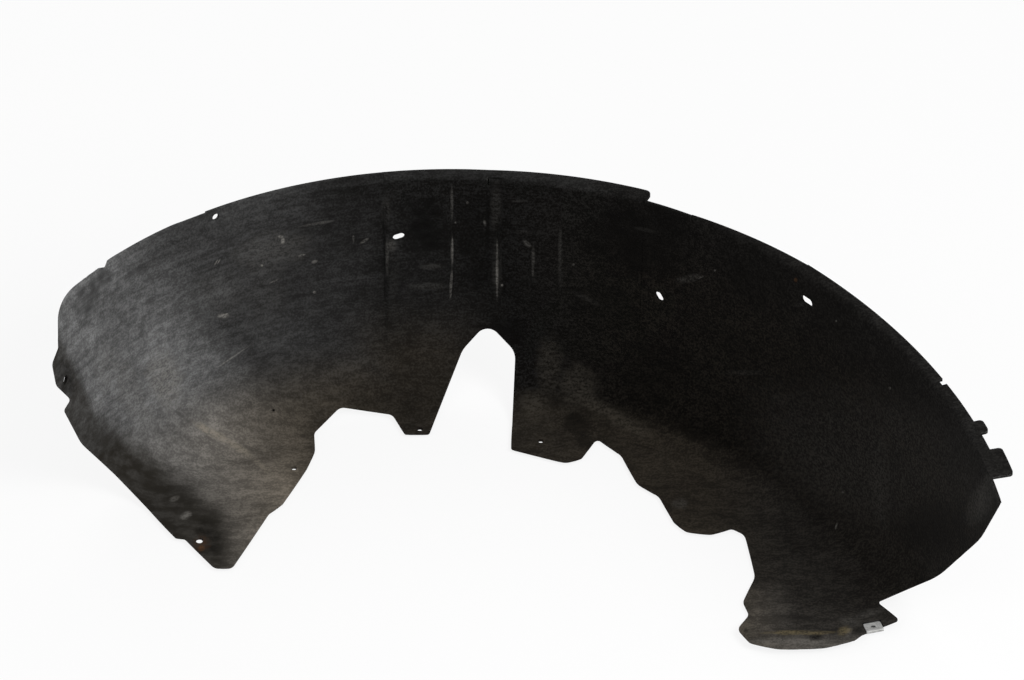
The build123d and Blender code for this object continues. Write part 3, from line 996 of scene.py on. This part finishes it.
@dataclass
class LinerSheet:
    """The pressed felt sheet of the liner."""

    axle: Pair
    finish: FeltFinish
    longest_edge: float = 0.0072
    chord: float = 0.00021
    most_halvings: int = 12
    soft_angle: float = 50.0
    facing_gain: float = 4.0
    dusty_lean: Pair = (-0.02, 0.10)
    low_share: float = 0.8
    low_heights: Pair = (0.17, 0.13)

    def build(self) -> bpy.types.Object:
        """Make the sheet and dress it.

        Returns:
            The finished piece.
        """
        piece = merged_copy("liner_shell", "felt_liner")
        bpy.ops.object.shade_smooth_by_angle(angle=math.radians(self.soft_angle))
        self._refine(piece)
        self._store_sides(piece.data)
        piece.data.materials.append(self.finish.material())
        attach(piece, "root")
        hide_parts("liner_shell")
        return piece

    def _refine(self, piece: bpy.types.Object) -> None:
        """Split the long facets and bow them onto the pressed curves.

        Args:
            piece: the welded sheet.
        """
        welded = piece.data
        facets = Facets.read(welded)
        for _ in range(self.most_halvings):
            if not facets.halve(self.longest_edge, self.chord):
                break
        facets.points[:, 2] = np.maximum(facets.points[:, 2], 0.0)
        piece.data = facets.mesh(piece.name)
        bpy.data.meshes.remove(welded)

    def _store_sides(self, mesh: bpy.types.Mesh) -> None:
        """Store which corners face the wheel and take dust, and which lie on the rear.

        Args:
            mesh: the refined sheet's mesh.
        """
        lean = corner_leans(mesh)
        points = np.array([point.co[:] for point in mesh.vertices])[corner_points(mesh)]
        outward = points[:, :2] + self.axle
        outward /= np.linalg.norm(outward, axis=1, keepdims=True)
        inward = lean[:, 2] - np.einsum("ij,ij->i", lean[:, :2], outward)
        facing = np.clip(self.facing_gain * inward + 0.5, 0.0, 1.0)
        raised = self._share(lean[:, 2], self.dusty_lean)
        low = self.low_share * self._share(points[:, 2], self.low_heights)
        dusty = np.maximum(raised, low) * facing
        for name, share in (("wheel_side", dusty), ("rear_side", 1.0 - facing)):
            mesh.attributes.new(name, "FLOAT", "CORNER").data.foreach_set("value", share)

    @staticmethod
    def _share(reading: np.ndarray, ends: Pair) -> np.ndarray:
        """0 up to the first reading, 1 from the second."""
        return np.clip((reading - ends[0]) / (ends[1] - ends[0]), 0.0, 1.0)


@dataclass
class ClipNut:
    """The spring-steel clip nut on the foot's edge."""

    finish: SpringSteelFinish
    edge_round: float = 0.00012
    edge_segments: int = 2
    sharp_angle: float = 40.0

    def build(self) -> bpy.types.Object:
        """Make the clip and dress it.

        Returns:
            The finished piece.
        """
        piece = merged_copy("clip_nut", "steel_clip_nut")
        softened = piece.modifiers.new("rounded_edges", "BEVEL")
        softened.width = self.edge_round
        softened.segments = self.edge_segments
        softened.limit_method = "ANGLE"
        softened.angle_limit = math.radians(self.sharp_angle)
        bpy.ops.object.modifier_apply(modifier=softened.name)
        bpy.ops.object.shade_smooth_by_angle(angle=math.radians(self.sharp_angle))
        piece.data.materials.append(self.finish.material())
        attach(piece, "root")
        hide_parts("clip_nut")
        return piece


@dataclass(frozen=True)
class Lamp:
    """A square soft lamp that points at the liner."""

    name: str
    place: Triple
    size: float
    power: float
    aim: Triple = (0.0, 0.05, 0.08)

    def build(self) -> None:
        """Hang the lamp."""
        light = bpy.data.lights.new(self.name, "AREA")
        light.size = self.size
        light.energy = self.power
        made = bpy.data.objects.new(self.name, light)
        bpy.context.scene.collection.objects.link(made)
        made.location = self.place
        ray = Vector(self.aim) - Vector(self.place)
        made.rotation_euler = ray.to_track_quat("-Z", "Y").to_euler()


LAMPS = (
    Lamp("key_lamp", (1.55, -1.05, 1.75), 1.3, 44.0),
    Lamp("fill_lamp", (-1.3, -1.8, 1.5), 1.8, 14.0),
    Lamp("back_lamp", (-0.6, 1.9, 1.7), 1.8, 13.0),
)


@dataclass
class Studio:
    """A white floor and the soft lamps over it."""

    lamps: Sequence[Lamp] = LAMPS
    floor_half: float = 20.0
    floor_drop: float = 0.0004
    floor_white: Colour = (0.90, 0.90, 0.90)
    glow: float = 0.86
    ambient: float = 0.40

    def build(self) -> None:
        """Lay the floor, set the sky and hang the lamps."""
        self._floor()
        self._sky()
        for lamp in self.lamps:
            lamp.build()

    def _floor(self) -> None:
        """Add the floor, white to the camera and still shaded by the object."""
        bpy.ops.object.select_all(action="DESELECT")
        below = (0.0, 0.0, -self.floor_drop)
        bpy.ops.mesh.primitive_plane_add(size=2.0 * self.floor_half, location=below)
        floor = bpy.context.object
        floor.name = "studio_floor"
        bpy.ops.object.transform_apply(location=True, rotation=False, scale=False)
        made, graph = new_material("studio_floor")
        paper = graph.node("ShaderNodeBsdfDiffuse", None, {"Color": (*self.floor_white, 1.0)})
        light = graph.node("ShaderNodeEmission", None, {"Color": WHITE, "Strength": 1.0})
        parts = {0: self._seen(graph) * self.glow, 1: paper.outputs[0], 2: light.outputs[0]}
        graph.output("ShaderNodeOutputMaterial", graph.node("ShaderNodeMixShader", None, parts))
        floor.data.materials.append(made)

    def _sky(self) -> None:
        """White for the eye and in reflections, dimmer as a light."""
        world = bpy.data.worlds.new("studio_sky")
        world.use_nodes = True
        bpy.context.scene.world = world
        graph = ShaderGraph(world.node_tree)
        strength = self._seen(graph) * (1.0 - self.ambient) + self.ambient
        sky = graph.node("ShaderNodeBackground", None, {"Color": WHITE, "Strength": strength})
        graph.output("ShaderNodeOutputWorld", sky)

    @staticmethod
    def _seen(graph: ShaderGraph) -> Value:
        """1 where the camera, a reflection or clear material looks."""
        path = graph.node("ShaderNodeLightPath")
        camera = Value(graph, path.outputs["Is Camera Ray"])
        glossy = Value(graph, path.outputs["Is Glossy Ray"])
        clear = Value(graph, path.outputs["Is Transmission Ray"])
        return camera.over(glossy).over(clear)


@dataclass
class PhotoCamera:
    """A long lens that looks down at the liner as the photograph does."""

    axle: Pair
    image: tuple[int, int] = (1024, 680)
    pixel: float = 0.0009
    axle_pixel: Pair = (451.0, 659.2)
    distance: float = 25.0
    sensor: float = 36.0
    clip: Pair = (0.5, 120.0)

    def build(self) -> None:
        """Create the camera and make it the scene's own."""
        across = (self.image[0] / 2 - self.axle_pixel[0]) * self.pixel
        up = (self.axle_pixel[1] - self.image[1] / 2) * self.pixel
        view = Vector((0.0, DIE_SLOPE[1], -DIE_SLOPE[0]))
        lift = Vector((0.0, DIE_SLOPE[0], DIE_SLOPE[1]))
        target = Vector((across - self.axle[0], -self.axle[1], 0.0)) + lift * up
        lens = bpy.data.cameras.new("photo_camera")
        lens.sensor_width = self.sensor
        lens.lens = self.sensor * self.distance / (self.image[0] * self.pixel)
        lens.clip_start, lens.clip_end = self.clip
        camera = bpy.data.objects.new("photo_camera", lens)
        bpy.context.scene.collection.objects.link(camera)
        camera.location = target - view * self.distance
        camera.rotation_euler = view.to_track_quat("-Z", "Y").to_euler()
        bpy.context.scene.camera = camera


def axle_shift() -> Pair:
    """How far the wheel's axle lies from the frame's origin, from the clip's place.

    Returns:
        What is added to X and Y to measure from the axle, m.
    """
    low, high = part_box("clip_nut")
    middle = [(low[axis] + high[axis]) / 2 for axis in range(2)]
    return CLIP_FROM_AXLE[0] - middle[0], CLIP_FROM_AXLE[1] - middle[1]


def main() -> None:
    """Build the liner, its clip, the studio and the camera."""
    logging.basicConfig(level=logging.INFO, format="%(message)s")
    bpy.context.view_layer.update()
    bpy.context.scene.view_settings.view_transform = "Standard"
    axle = axle_shift()
    pieces = [
        LinerSheet(axle, FeltFinish(axle)).build(),
        ClipNut(SpringSteelFinish()).build(),
    ]
    for piece in pieces:
        LOG.info("%s: %d faces", piece.name, len(piece.data.polygons))
    Studio().build()
    PhotoCamera(axle).build()


if __name__ == "__main__":
    main()
